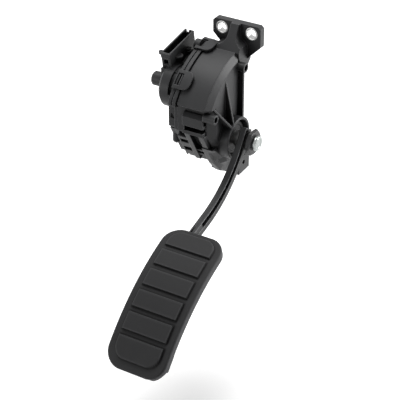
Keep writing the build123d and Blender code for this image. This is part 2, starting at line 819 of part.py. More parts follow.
# Return springs and drag
def coil(radius, wire, start, length, turns, towards):
    base = Plane(start, z_dir=towards)
    count = round(turns * coil_facets)
    spots = []
    for i in range(count + 1):
        y, z = polar(radius, 360 * i / coil_facets)
        spots.append(base.from_local_coords(Vector(y, z, length * i / count)))
    section = Plane(spots[0], z_dir=spots[1] - spots[0]) * RegularPolygon(wire / 2, wire_sides)
    return sweep(section, path=Polyline(*spots), transition=Transition.RIGHT)


coil_from = (coil_x[0], pivot_y, pivot_z)
coil_length = coil_x[1] - coil_x[0]
write("outer_spring", coil(outer_coil_r, outer_wire, coil_from, coil_length, coil_turns, (1, 0, 0)))
write("inner_spring", coil(inner_coil_r, inner_wire, coil_from, coil_length, coil_turns, (1, 0, 0)))
shoe_in = drum_flange_r + shoe_gap
shoe = fan(*shoe_x, shoe_in, shoe_in + shoe_thick, 270 - shoe_half_deg, 270 + shoe_half_deg)
write("friction_shoe", at_pivot * shoe)
shoe_mid = sum(shoe_x) / 2
drag_from = pivot_z - shoe_in - shoe_thick
floor_share = (belly[0] - pivot_y) / (belly[0] - slope_foot[0])
floor_z = belly[1] + skin + (slope_foot[1] - belly[1]) * floor_share
drag_length = drag_from - floor_z - drag_wire - drag_gap
drag_at = (shoe_mid, pivot_y, drag_from - drag_wire)
write("friction_spring", coil(drag_coil_r, drag_wire, drag_at, drag_length, drag_turns, (0, 0, -1)))

# Arm with its hub, bend and grooves
run = (-cos(radians(arm_dip_deg)), -sin(radians(arm_dip_deg)))
fore = (run[1], -run[0])
lay = (-cos(radians(arm_lay_deg)), -sin(radians(arm_lay_deg)))
over = (lay[1], -lay[0])
spread = 1 + fore[0] * over[0] + fore[1] * over[1]


def along(distance, front):
    return (distance * run[0] + front * fore[0], distance * run[1] + front * fore[1])


def arm_lines(back, start):
    head_spot = along(start, arm_front - back)
    knee = along(arm_bend_at, arm_front)
    bend = (
        knee[0] - back * (fore[0] + over[0]) / spread,
        knee[1] - back * (fore[1] + over[1]) / spread,
    )
    foot_spot = (
        knee[0] + arm_end_run * lay[0] - back * over[0],
        knee[1] + arm_end_run * lay[1] - back * over[1],
    )
    return head_spot, bend, foot_spot


def strip(front, rear, start, trim, x0, x1):
    a0, a1, a2 = arm_lines(front, start)
    b0, b1, b2 = arm_lines(rear, start)
    a2 = (a2[0] - trim * lay[0], a2[1] - trim * lay[1])
    b2 = (b2[0] - trim * lay[0], b2[1] - trim * lay[1])
    edges = [
        *FilletPolyline(a0, a1, a2, radius=arm_bend_r + front).edges(),
        Line(a2, b2),
        *FilletPolyline(b2, b1, b0, radius=arm_bend_r + rear).edges(),
        Line(b0, a0),
    ]
    return extrude(Plane.YZ.offset(x0) * make_face(edges), amount=x1 - x0)


arm = strip(0.0, arm_depth, -arm_top, 0.0, *arm_x)
arm += at_pivot * turned(*arm_x, head_r)
arm -= strip(groove_from, groove_to, groove_start, groove_end, arm_x[1] - groove_deep, arm_x[1])


def on_lay(distance, back):
    knee = along(arm_bend_at, arm_front)
    return (
        knee[0] + distance * lay[0] - back * over[0],
        knee[1] + distance * lay[1] - back * over[1],
    )


slit = [
    on_lay(slit_run[0], 0.0),
    on_lay(slit_run[1], 0.0),
    on_lay(slit_run[1], slit_deep),
]
arm -= slab(slit, *slit_x)
pad_y = pad_top[0] + pad_r * sin(radians(pad_deg[0]))
pad_z = pad_top[1] - pad_r * cos(radians(pad_deg[0]))
pad_at = Pos(0, pad_y, pad_z)
back_r = pad_r - tread_thick - base_thick
from_deg = 90 + pad_deg[0]
to_deg = 90 + pad_deg[1]
arm += pad_at * fan(*tongue_x, back_r - tongue_thick, back_r, from_deg, 90 + tongue_end_deg)
arm -= pad_at * fan(*arm_x, back_r, pad_r + pad_corner, from_deg - arm_gap, to_deg)
arm -= at_pivot * turned(arm_x[0], arm_x[1], nose_d / 2)

# Pad: carrier plate, tread with raised bars, screws
half = pad_width / 2


def rounded(x, span, width, inset, corner):
    mean = radians((span[0] + span[1]) / 2)
    length = 2 * pad_r * sin(radians(span[1] - span[0]) / 2) - 2 * inset
    spot = (-pad_r * sin(mean), pad_r * cos(mean))
    plane = Plane((x, *spot), x_dir=(1, 0, 0), z_dir=(0, *spot))
    return extrude(plane * RectangleRounded(width, length, corner), amount=pad_cut_deep, both=True)


tread_r = pad_r - tread_thick
tread = fan(pad_x - half, pad_x + half, tread_r, pad_r, from_deg, to_deg)
tread = tread & rounded(pad_x, pad_deg, pad_width, 0.0, pad_corner)
bar_starts = [bar_first_deg]
bar_ends = []
for i in range(bar_count - 1):
    bar_ends.append(bar_edge_deg + i * bar_pitch_deg)
    bar_starts.append(bar_ends[i] + bar_gap_deg)
bar_ends.append(bar_last_deg)
bar_area = rounded(bar_x, (bar_first_deg, bar_last_deg), bar_width, 0.0, bar_corner)
bar_top = pad_r + bar_rise
for start, end in zip(bar_starts, bar_ends):
    bar = fan(pad_x - half, pad_x + half, tread_r, bar_top, 90 + start, 90 + end)
    tread += bar & bar_area
write("pad_cover", pad_at * tread)
carrier = fan(pad_x - half, pad_x + half, back_r, tread_r, from_deg, to_deg)
rib_r = back_r - side_rib_h
for rib_x in side_ribs_x:
    side_rib = (rib_r, back_r, 90 + side_rib_deg[0], 90 + side_rib_deg[1])
    carrier += fan(rib_x, rib_x + side_rib_w, *side_rib)
for rib_deg in cross_ribs_deg:
    cross_rib = (rib_r, back_r, 90 + rib_deg, 90 + rib_deg + cross_rib_span_deg)
    carrier += fan(side_ribs_x[0], side_ribs_x[1] + side_rib_w, *cross_rib)
lug_from = pad_x + half - base_inset - lug_wide
carrier += fan(lug_from, lug_from + lug_wide, back_r - lug_drop, tread_r, 90 + lug_deg[0], 90 + lug_deg[1])
base_width = pad_width - 2 * base_inset
carrier = carrier & rounded(pad_x, pad_deg, base_width, base_inset, pad_corner - base_inset)
screws = []
for at in screw_deg:
    spot = polar(back_r - tongue_thick, 90 + at)
    face_plane = Plane((screw_x, *spot), x_dir=(1, 0, 0), z_dir=(0, *spot))
    shank = extrude(face_plane * Circle(screw_shank_d / 2), amount=tongue_thick + base_thick)
    screw = shank + extrude(face_plane * Circle(screw_head_d / 2), amount=-screw_head_h)
    screws.append(pad_at * screw)
carrier = pad_at * carrier
for screw in screws:
    carrier -= screw
    arm -= screw
write("pad_base", carrier)
write("pedal_arm", arm)
write("pad_screws", Compound(children=screws))
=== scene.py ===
import json
import math

import bmesh
import bpy
import numpy as np
from mathutils import Matrix, Vector


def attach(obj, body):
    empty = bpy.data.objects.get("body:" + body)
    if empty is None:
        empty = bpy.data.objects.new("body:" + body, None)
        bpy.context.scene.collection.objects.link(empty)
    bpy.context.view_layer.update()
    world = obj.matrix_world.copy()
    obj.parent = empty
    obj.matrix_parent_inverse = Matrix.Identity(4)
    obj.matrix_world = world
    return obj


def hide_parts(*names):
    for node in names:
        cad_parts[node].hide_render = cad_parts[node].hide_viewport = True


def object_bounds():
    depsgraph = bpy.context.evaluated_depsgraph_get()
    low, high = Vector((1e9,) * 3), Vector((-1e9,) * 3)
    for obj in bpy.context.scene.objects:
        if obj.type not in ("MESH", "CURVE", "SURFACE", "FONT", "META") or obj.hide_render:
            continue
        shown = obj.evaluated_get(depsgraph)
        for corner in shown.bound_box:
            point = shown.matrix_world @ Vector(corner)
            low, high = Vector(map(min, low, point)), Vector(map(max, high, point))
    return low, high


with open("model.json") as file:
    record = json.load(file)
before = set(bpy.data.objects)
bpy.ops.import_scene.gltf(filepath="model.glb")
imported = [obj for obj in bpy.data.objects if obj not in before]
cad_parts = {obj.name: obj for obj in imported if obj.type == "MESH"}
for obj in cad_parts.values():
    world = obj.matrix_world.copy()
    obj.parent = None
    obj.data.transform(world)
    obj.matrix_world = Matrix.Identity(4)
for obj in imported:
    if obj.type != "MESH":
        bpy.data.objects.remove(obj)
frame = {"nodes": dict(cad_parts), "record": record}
nodes = frame["nodes"]
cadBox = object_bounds()
scene = bpy.context.scene
mm = 0.001
print("frame loaded:", len(nodes), "nodes")


# shader groups shared by several finishes
def newGroup(name, inputs, outputs):
    group = bpy.data.node_groups.new(name, "ShaderNodeTree")
    for label, kind, value in inputs:
        socket = group.interface.new_socket(label, in_out="INPUT", socket_type=kind)
        socket.default_value = value
    for label, kind in outputs:
        group.interface.new_socket(label, in_out="OUTPUT", socket_type=kind)
    return group, group.nodes.new("NodeGroupInput"), group.nodes.new("NodeGroupOutput")


def mathNode(tree, operation, a, b=None, clamp=False):
    node = tree.nodes.new("ShaderNodeMath")
    node.operation = operation
    node.use_clamp = clamp
    for socket, value in zip(node.inputs, (a, b)):
        if value is None:
            continue
        if isinstance(value, (int, float)):
            socket.default_value = value
        else:
            tree.links.new(value, socket)
    return node.outputs[0]


def noiseNode(tree, vector, scale, detail, rough):
    node = tree.nodes.new("ShaderNodeTexNoise")
    tree.links.new(vector, node.inputs["Vector"])
    if isinstance(scale, (int, float)):
        node.inputs["Scale"].default_value = scale
    else:
        tree.links.new(scale, node.inputs["Scale"])
    node.inputs["Detail"].default_value = detail
    node.inputs["Roughness"].default_value = rough
    return node.outputs["Fac"]


def rampNode(tree, value, low, high):
    node = tree.nodes.new("ShaderNodeMapRange")
    node.interpolation_type = "SMOOTHSTEP"
    tree.links.new(value, node.inputs["Value"])
    node.inputs["From Min"].default_value = low
    node.inputs["From Max"].default_value = high
    return node.outputs["Result"]


# moulded surface: metres, noise scales per metre
grainLook = dict(
    fineDetail=3.0, fineRough=0.6, broadScale=0.05, broadDetail=2.0, broadRough=0.5, broadShare=0.8,
    bumpDistance=0.0002, bevelSamples=6, rimRange=(0.02, 0.25),
    patchScale=22.0, patchDetail=3.0, patchRough=0.55, patchRange=(0.3, 0.7), patchTint=(0.9, 1.12),
    hollowSamples=8, hollowReach=0.02, openRange=(0.3, 0.95), hollowShadeTint=0.12,
)


def buildMouldGrain(look):
    # height is a small noise plus a coarser wave of the tool's surface, over edges rounded in the normal;
    # rim is how far an edge turns, which sets a painted highlight on edges, and open is how little a hollow
    # closes over the spot, which sets painted shade in hollows
    tree, given, out = newGroup(
        "mouldGrain",
        [
            ("Scale", "NodeSocketFloat", 1800.0), ("Depth", "NodeSocketFloat", 0.2),
            ("Edge", "NodeSocketFloat", 0.0005), ("Reach", "NodeSocketFloat", look["hollowReach"]),
        ],
        [
            ("Normal", "NodeSocketVector"), ("Patch", "NodeSocketFloat"),
            ("Rim", "NodeSocketFloat"), ("Open", "NodeSocketFloat"),
        ],
    )
    place = tree.nodes.new("ShaderNodeTexCoord").outputs["Object"]
    fine = noiseNode(tree, place, given.outputs["Scale"], look["fineDetail"], look["fineRough"])
    broadScale = mathNode(tree, "MULTIPLY", given.outputs["Scale"], look["broadScale"])
    broad = noiseNode(tree, place, broadScale, look["broadDetail"], look["broadRough"])
    height = mathNode(tree, "ADD", fine, mathNode(tree, "MULTIPLY", broad, look["broadShare"]))
    bevel = tree.nodes.new("ShaderNodeBevel")
    bevel.samples = look["bevelSamples"]
    tree.links.new(given.outputs["Edge"], bevel.inputs["Radius"])
    bump = tree.nodes.new("ShaderNodeBump")
    bump.inputs["Distance"].default_value = look["bumpDistance"]
    tree.links.new(given.outputs["Depth"], bump.inputs["Strength"])
    tree.links.new(height, bump.inputs["Height"])
    tree.links.new(bevel.outputs["Normal"], bump.inputs["Normal"])
    tree.links.new(bump.outputs["Normal"], out.inputs["Normal"])
    patch = noiseNode(tree, place, look["patchScale"], look["patchDetail"], look["patchRough"])
    tree.links.new(rampNode(tree, patch, *look["patchRange"]), out.inputs["Patch"])
    flat = tree.nodes.new("ShaderNodeNewGeometry").outputs["Normal"]
    turn = tree.nodes.new("ShaderNodeVectorMath")
    turn.operation = "DOT_PRODUCT"
    tree.links.new(flat, turn.inputs[0])
    tree.links.new(bevel.outputs["Normal"], turn.inputs[1])
    rim = mathNode(tree, "SUBTRACT", 1.0, turn.outputs["Value"], clamp=True)
    tree.links.new(rampNode(tree, rim, *look["rimRange"]), out.inputs["Rim"])
    hollow = tree.nodes.new("ShaderNodeAmbientOcclusion")
    hollow.samples = look["hollowSamples"]
    hollow.only_local = True
    tree.links.new(given.outputs["Reach"], hollow.inputs["Distance"])
    tree.links.new(rampNode(tree, hollow.outputs["AO"], *look["openRange"]), out.inputs["Open"])
    return tree


# turned metal: the stretch lays its lines round the pivot axis
lineLook = dict(
    stretch=(1.0, 0.06, 0.06), lineDetail=2.0, lineRough=0.5, bumpDistance=0.0001,
    smearScale=160.0, smearDetail=3.0, smearRough=0.6, smearRange=(0.3, 0.75), streakTint=(0.85, 1.08),
)


def buildTurnedLines(look):
    # height is a noise stretched into bands, streak is a smear of another noise
    tree, given, out = newGroup(
        "turnedLines",
        [("Pitch", "NodeSocketFloat", 2600.0), ("Depth", "NodeSocketFloat", 0.15)],
        [("Normal", "NodeSocketVector"), ("Streak", "NodeSocketFloat")],
    )
    place = tree.nodes.new("ShaderNodeTexCoord").outputs["Object"]
    stretch = tree.nodes.new("ShaderNodeMapping")
    stretch.inputs["Scale"].default_value = look["stretch"]
    tree.links.new(place, stretch.inputs["Vector"])
    lines = noiseNode(
        tree, stretch.outputs["Vector"], given.outputs["Pitch"], look["lineDetail"], look["lineRough"]
    )
    bump = tree.nodes.new("ShaderNodeBump")
    bump.inputs["Distance"].default_value = look["bumpDistance"]
    tree.links.new(given.outputs["Depth"], bump.inputs["Strength"])
    tree.links.new(lines, bump.inputs["Height"])
    tree.links.new(bump.outputs["Normal"], out.inputs["Normal"])
    smear = noiseNode(tree, place, look["smearScale"], look["smearDetail"], look["smearRough"])
    tree.links.new(rampNode(tree, smear, *look["smearRange"]), out.inputs["Streak"])
    return tree


mouldGrain = buildMouldGrain(grainLook)
turnedLines = buildTurnedLines(lineLook)


def tint(colour, factor):
    return (colour[0] * factor, colour[1] * factor, colour[2] * factor, 1.0)


def colourMix(tree, factor, low, high):
    node = tree.nodes.new("ShaderNodeMix")
    node.data_type = "RGBA"
    tree.links.new(factor, node.inputs["Factor"])
    for socket, value in ((node.inputs["A"], low), (node.inputs["B"], high)):
        if isinstance(value, tuple):
            socket.default_value = value
        else:
            tree.links.new(value, socket)
    return node.outputs["Result"]


def valueRange(tree, value, low, high):
    node = tree.nodes.new("ShaderNodeMapRange")
    tree.links.new(value, node.inputs["Value"])
    node.inputs["To Min"].default_value = low
    node.inputs["To Max"].default_value = high
    return node.outputs["Result"]


roughSpread = 0.04  # roughness goes this far to each side of a finish's own value


def moulded(name, look):
    material = bpy.data.materials.new(name)
    material.use_nodes = True
    tree = material.node_tree
    shader = tree.nodes["Principled BSDF"]
    grain = tree.nodes.new("ShaderNodeGroup")
    grain.node_tree = mouldGrain
    grain.inputs["Scale"].default_value = look["grain"]
    grain.inputs["Depth"].default_value = look["depth"]
    grain.inputs["Edge"].default_value = look["edge"]
    grain.inputs["Reach"].default_value = look.get("reach", grainLook["hollowReach"])
    deep, pale = (tint(look["colour"], factor) for factor in grainLook["patchTint"])
    base = colourMix(tree, grain.outputs["Patch"], deep, pale)
    # painted highlight: edges are lightened by the rim, then each mark lays a painted highlight or painted
    # shade from its attribute
    paintedLight = colourMix(tree, grain.outputs["Rim"], base, tint(look["colour"], look["rim"]))
    for markName, factor in look.get("marks", {}).items():
        mark = tree.nodes.new("ShaderNodeAttribute")
        mark.attribute_name = markName
        paintedLight = colourMix(tree, mark.outputs["Fac"], paintedLight, tint(look["colour"], factor))
    # painted shade: the colour darkens towards the hollow tint where a hollow closes over the spot
    hollowShaded = colourMix(tree, grain.outputs["Open"], tint(look["colour"], grainLook["hollowShadeTint"]), paintedLight)
    tree.links.new(hollowShaded, shader.inputs["Base Color"])
    rough = valueRange(tree, grain.outputs["Patch"], look["rough"] - roughSpread, look["rough"] + roughSpread)
    tree.links.new(rough, shader.inputs["Roughness"])
    tree.links.new(grain.outputs["Normal"], shader.inputs["Normal"])
    shader.inputs["Specular IOR Level"].default_value = look["gloss"]
    return material


def metal(name, look):
    material = bpy.data.materials.new(name)
    material.use_nodes = True
    tree = material.node_tree
    shader = tree.nodes["Principled BSDF"]
    lines = tree.nodes.new("ShaderNodeGroup")
    lines.node_tree = turnedLines
    lines.inputs["Pitch"].default_value = look["pitch"]
    lines.inputs["Depth"].default_value = look["depth"]
    dim, clear = (tint(look["colour"], factor) for factor in lineLook["streakTint"])
    base = colourMix(tree, lines.outputs["Streak"], dim, clear)
    tree.links.new(base, shader.inputs["Base Color"])
    rough = valueRange(tree, lines.outputs["Streak"], look["rough"] - roughSpread, look["rough"] + roughSpread)
    tree.links.new(rough, shader.inputs["Roughness"])
    tree.links.new(lines.outputs["Normal"], shader.inputs["Normal"])
    shader.inputs["Metallic"].default_value = look["metallic"]
    return material


black = (0.038, 0.0383, 0.0396)
# rim: how many times lighter an edge is painted, a painted highlight; reach: how far round the painted shade in
# hollows looks; marks: colour factors on a new piece's attributes, painted highlights above one and painted
# shade below one
mouldedLooks = {
    "housing_nylon": dict(colour=black, rough=0.42, grain=1500.0, depth=0.22, edge=0.001, rim=4.4, gloss=0.16),
    "cover_nylon": dict(
        colour=tint(black, 0.95)[:3], rough=0.45, grain=1500.0, depth=0.22, edge=0.0009, rim=4.4, gloss=0.16,
        reach=0.035,
    ),
    "arm_nylon": dict(
        colour=tint(black, 0.8)[:3], rough=0.42, grain=1500.0, depth=0.2, edge=0.0009, rim=4.4, gloss=0.16,
        marks={"armRidgeHighlight": 5.0, "armFlankShade": 0.45},
    ),
    "pad_rubber": dict(
        colour=(0.03, 0.03, 0.031), rough=0.58, grain=2400.0, depth=0.3, edge=0.0004, rim=1.6, gloss=0.12,
        marks={"treadEdgeHighlight": 1.8, "treadCreaseShade": 0.2, "treadSideLight": 2.6},
    ),
    "plate_steel": dict(colour=black, rough=0.5, grain=2600.0, depth=0.15, edge=0.0004, rim=1.6, gloss=0.16),
    "collar_black": dict(
        colour=(0.027, 0.027, 0.028), rough=0.32, grain=2200.0, depth=0.12, edge=0.0006, rim=2.4, gloss=0.25,
    ),
    "seal_rubber": dict(
        colour=(0.012, 0.012, 0.012), rough=0.62, grain=2400.0, depth=0.2, edge=0.0003, rim=1.5, gloss=0.3,
    ),
    "gear_plastic": dict(
        colour=(0.72, 0.71, 0.67), rough=0.4, grain=2400.0, depth=0.1, edge=0.0002, rim=1.05, gloss=0.5,
    ),
    "board": dict(
        colour=(0.03, 0.18, 0.08), rough=0.35, grain=2400.0, depth=0.1, edge=0.0002, rim=1.3, gloss=0.5,
    ),
    "chip": dict(
        colour=(0.025, 0.025, 0.026), rough=0.5, grain=2800.0, depth=0.15, edge=0.0002, rim=1.5, gloss=0.5,
    ),
    "friction": dict(
        colour=(0.14, 0.11, 0.08), rough=0.7, grain=1800.0, depth=0.4, edge=0.0003, rim=1.2, gloss=0.4,
    ),
}
metalLooks = {
    "zinc": dict(colour=(0.34, 0.36, 0.352), rough=0.3, pitch=2200.0, depth=0.12, metallic=1.0),
    "bright_steel": dict(colour=(0.5, 0.5, 0.495), rough=0.32, pitch=2800.0, depth=0.1, metallic=1.0),
    "spring_steel": dict(colour=(0.36, 0.36, 0.37), rough=0.35, pitch=2800.0, depth=0.1, metallic=1.0),
    "bearing_bronze": dict(colour=(0.55, 0.40, 0.22), rough=0.45, pitch=2800.0, depth=0.15, metallic=1.0),
    "magnet": dict(colour=(0.2, 0.2, 0.21), rough=0.5, pitch=2400.0, depth=0.1, metallic=0.8),
    "pin_metal": dict(colour=(0.72, 0.68, 0.56), rough=0.25, pitch=2800.0, depth=0.08, metallic=1.0),
}
finishes = {name: moulded(name, look) for name, look in mouldedLooks.items()}
finishes.update({name: metal(name, look) for name, look in metalLooks.items()})
for part in frame["record"]["subparts"]:
    for materialSlot in nodes[part["node"]].material_slots:
        materialSlot.link = "OBJECT"
        materialSlot.material = finishes[part["material_slot"]]
print("finishes set:", len(finishes))


def gridFaces(rows, columns, closed=False):
    # one quad between four neighbouring grid points; a closed grid joins its last column to its first
    row = np.arange(rows - 1)[:, None]
    column = np.arange(columns if closed else columns - 1)[None, :]
    nextColumn = (column + 1) % columns
    near, far = row * columns, (row + 1) * columns
    corners = (near + column, near + nextColumn, far + nextColumn, far + column)
    return np.stack(np.broadcast_arrays(*corners), axis=-1).reshape(-1, 4)


mergeDistance = 1e-6


def addPiece(name, points, faces, body, finish, node, sharpAngle, marks=None):
    mesh = bpy.data.meshes.new(name)
    mesh.from_pydata(points.reshape(-1, 3), [], faces)
    for markName, mark in (marks or {}).items():
        attribute = mesh.attributes.new(markName, "FLOAT", "POINT")
        attribute.data.foreach_set("value", mark.astype(np.float32).ravel())
    work = bmesh.new()
    work.from_mesh(mesh)
    bmesh.ops.remove_doubles(work, verts=work.verts, dist=mergeDistance)
    bmesh.ops.recalc_face_normals(work, faces=work.faces)
    work.to_mesh(mesh)
    work.free()
    mesh.shade_smooth()
    mesh.set_sharp_from_angle(angle=math.radians(sharpAngle))
    piece = bpy.data.objects.new(name, mesh)
    scene.collection.objects.link(piece)
    mesh.materials.append(finishes[finish])
    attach(piece, body)
    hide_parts(node)
    print(name, "faces:", len(mesh.polygons))


# tread of the foot pad: metres and degrees, the arc's axis across the pad
padTread = dict(
    axisY=-0.07276, axisZ=-0.33581, radius=0.207, thick=0.0046, span=(15.6, 54.0),
    middleX=0.0349, width=0.0584, corner=0.0165, lip=0.0018, skirt=0.0024, skirtWidth=0.0012,
    barX=0.035, barWidth=0.0444, barCorner=0.011, barRise=0.0022, barSpan=(17.0, 51.5),
    barEdge=21.8, barPitch=5.76, barGap=1.2, barCount=6,
    # breadths, after the foot: of the painted highlight along a bar's top edge, then of the painted shade in
    # the crease at its foot
    wall=0.0006, foot=0.0002, highlightWidth=0.0007, crease=0.0006,
    wallBefore=0.0003, wallAfter=0.0002, wallLines=8, rowCount=121, columnCount=61, lineDigits=6,
    sharpAngle=50.0,
)


def halfLength(tread, span):
    # half an arc's chord: the radius times the sine of half its angle
    return tread["radius"] * math.sin(math.radians(span[1] - span[0]) / 2)


def insideBox(across, along, halfWidth, half, corner):
    # depth inside a rounded rectangle: the corner radius less the distance from the inner rectangle
    outX = np.abs(across) - halfWidth + corner
    outY = np.abs(along) - half + corner
    outer = np.hypot(np.maximum(outX, 0.0), np.maximum(outY, 0.0))
    return corner - outer - np.minimum(np.maximum(outX, outY), 0.0)


def smoothStep(value):
    # three squares less two cubes of the value, held between nought and one
    value = np.clip(value, 0.0, 1.0)
    return value * value * (3.0 - 2.0 * value)


def treadLines(tread):
    # grid lines, close together at the pad's ends and corners and across each wall of a bar
    fine = np.linspace(-tread["wallBefore"], tread["wall"] + tread["wallAfter"], tread["wallLines"])
    half = halfLength(tread, tread["span"])
    middle = math.radians(sum(tread["span"]) / 2)
    ends = tread["barEdge"] + tread["barPitch"] * np.arange(tread["barCount"] - 1)
    starts = np.concatenate(([tread["barSpan"][0]], ends + tread["barGap"]))
    ends = np.concatenate((ends, [tread["barSpan"][1]]))
    startRows = np.radians(starts)[:, None] + fine / tread["radius"]
    endRows = np.radians(ends)[:, None] - fine / tread["radius"]
    turned = half * np.sin(np.linspace(-math.pi / 2, math.pi / 2, tread["rowCount"]))
    rows = np.concatenate((np.arcsin(turned / tread["radius"]) + middle, startRows.ravel(), endRows.ravel()))
    low, high = np.radians(tread["span"])
    rows = np.unique(np.round(np.clip(rows, low, high), tread["lineDigits"]))
    sides = np.array([-1.0, 1.0])[:, None] * (tread["barWidth"] / 2 - fine) + tread["barX"] - tread["middleX"]
    edges = np.sin(np.linspace(-math.pi / 2, math.pi / 2, tread["columnCount"])) * tread["width"] / 2
    columns = np.unique(np.round(np.concatenate((sides.ravel(), edges)), tread["lineDigits"]))
    return rows, columns / (tread["width"] / 2), starts, ends


def bentLayer(tread, x, height, angle):
    # points round the pad's axis: the height times the sine towards the driver, times the cosine upwards
    y = tread["axisY"] - height * np.sin(angle)
    z = tread["axisZ"] + height * np.cos(angle)
    return np.stack(np.broadcast_arrays(x, y, z), axis=-1)


def treadSurface(tread):
    # top: an arc along the pad, lowered by a quarter circle at its rim and raised by a smooth step in a bar;
    # underside: an arc at the rubber's thickness, with a skirt that hangs down round the rim
    rows, columns, starts, ends = treadLines(tread)
    half = halfLength(tread, tread["span"])
    middle = math.radians(sum(tread["span"]) / 2)
    angle = rows[:, None]
    along = np.clip(tread["radius"] * np.sin(angle - middle), -half, half)
    beyond = np.maximum(np.abs(along) - half + tread["corner"], 0.0)
    narrowed = tread["width"] / 2 - tread["corner"] + np.sqrt(np.maximum(tread["corner"] ** 2 - beyond**2, 0.0))
    across = columns[None, :] * narrowed
    depth = insideBox(across, along, tread["width"] / 2, half, tread["corner"])
    slack = np.clip(1.0 - depth / tread["lip"], 0.0, 1.0)
    drop = tread["lip"] * (1.0 - np.sqrt(1.0 - slack**2))
    barMiddle = math.radians(sum(tread["barSpan"]) / 2)
    barAlong = tread["radius"] * np.sin(angle - barMiddle)
    shift = across + tread["middleX"] - tread["barX"]
    barHalf = halfLength(tread, tread["barSpan"])
    area = insideBox(shift, barAlong, tread["barWidth"] / 2, barHalf, tread["barCorner"])
    gaps = np.minimum(angle - np.radians(starts), np.radians(ends) - angle).max(axis=1, keepdims=True)
    inBar = np.minimum(area, gaps * tread["radius"])
    rise = tread["barRise"] * smoothStep((inBar + tread["foot"]) / (tread["wall"] + tread["foot"]))
    top = tread["radius"] - drop + rise
    skirt = tread["skirt"] * (1.0 - smoothStep(depth / tread["skirtWidth"]))
    under = np.broadcast_to(tread["radius"] - tread["thick"] - skirt, top.shape)
    # painted highlight along the top edge of each bar, painted shade in the crease at its foot, and painted
    # light on the pad's rounded rim, strongest at its outer edge
    edgeHighlight = np.exp(-(((inBar - tread["wall"]) / tread["highlightWidth"]) ** 2)) * (inBar > 0)
    crease = np.exp(-(((inBar + tread["foot"]) / tread["crease"]) ** 2)) * (inBar < tread["wall"])
    side = np.broadcast_to(slack**2, top.shape)
    marks = {"treadEdgeHighlight": edgeHighlight, "treadCreaseShade": crease, "treadSideLight": side}
    layers = [bentLayer(tread, tread["middleX"] + across, height, angle) for height in (top, under)]
    return np.stack(layers), marks


def shellFaces(rows, columns):
    # two layers of one grid and the wall round their edge
    sheet = gridFaces(rows, columns)
    size = rows * columns
    ids = np.arange(size).reshape(rows, columns)
    loop = np.concatenate((ids[0, :-1], ids[:-1, -1], ids[-1, :0:-1], ids[:0:-1, 0]))
    ahead = np.roll(loop, -1)
    wall = np.stack((loop, ahead, ahead + size, loop + size), axis=-1)
    return np.concatenate((sheet, sheet[:, ::-1] + size, wall))


treadPoints, treadMarks = treadSurface(padTread)
# the underside is all side: it takes the painted side light in full and none of the other painted marks
treadMarks = {
    name: np.stack((mark, np.full_like(mark, name == "treadSideLight"))) for name, mark in treadMarks.items()
}
treadFaces = shellFaces(*treadPoints.shape[1:3])
addPiece(
    "padTread", treadPoints, treadFaces, "pedal", "pad_rubber", "pad_cover", padTread["sharpAngle"], treadMarks
)


def roundedProfile(corners, steps=6):
    # each corner (place, radius, rounding) is a short parabola from a point before it to a point after it
    spots = np.array(corners, dtype=float)
    place, rounding = spots[:, :2], spots[:, 2:]
    before = np.roll(place, 1, axis=0) - place
    after = np.roll(place, -1, axis=0) - place
    begin = place + rounding * before / np.linalg.norm(before, axis=1, keepdims=True)
    end = place + rounding * after / np.linalg.norm(after, axis=1, keepdims=True)
    t = np.linspace(0.0, 1.0, steps)[None, :, None]
    curve = (1 - t) ** 2 * begin[:, None] + 2 * t * (1 - t) * place[:, None] + t**2 * end[:, None]
    return curve.reshape(-1, 2)


def latheSurface(profile, segments, flats=None):
    # the profile's radius carried round its axis, cut to a hexagon where the width across flats is given:
    # half that width over the cosine of the angle from the nearest flat
    turn = np.linspace(0.0, 2 * math.pi, segments, endpoint=False)[None, :]
    along, radius = profile[:, :1], profile[:, 1:]
    if flats:
        radius = np.minimum(radius, flats / 2 / np.cos(turn % (math.pi / 3) - math.pi / 6))
    return along + 0 * turn, radius * np.cos(turn), radius * np.sin(turn)


def ringProfile(corners):
    # a closed section: the last point meets the first
    profile = roundedProfile(corners)
    return np.concatenate((profile, profile[:1]))


hubAxis = (-35.8, -89.7)  # where the pivot crosses the Y-Z plane, millimetres
turnedSharp = 35.0  # degrees between faces that keep a sharp edge


def pivotShell(look, profile):
    # the profile turned round the pivot's axis
    along, first, second = latheSurface(profile, look["segments"], look.get("flats"))
    points = np.stack((along, first + hubAxis[0], second + hubAxis[1]), axis=-1) * mm
    return points, gridFaces(*points.shape[:2], closed=True)


def addTurned(name, look, profile, finish, node, shaded=False):
    points, faces = pivotShell(look, profile)
    # a shaded piece is darkened all over as painted shade
    marks = {"armFlankShade": np.ones(points.shape[:2])} if shaded else None
    addPiece(name, points, faces, "pedal", finish, node, turnedSharp, marks)


# bolt on the end of the pivot shaft: millimetres along the shaft, radius and rounding
pivotBolt = dict(
    segments=72,
    corners=(
        (8.0, 0.0, 0.0), (8.0, 3.9, 0.6), (36.8, 4.0, 0.2), (36.8, 6.1, 0.3),
        (38.0, 6.2, 0.3), (38.1, 7.2, 0.4), (39.6, 7.25, 0.7), (40.9, 6.3, 0.6),
        (40.9, 4.7, 0.3), (40.4, 4.1, 0.3), (40.4, 1.0, 0.2), (40.1, 0.0, 0.0),
    ),
)
addTurned("pivotBolt", pivotBolt, roundedProfile(pivotBolt["corners"]), "zinc", "pivot_bolt")

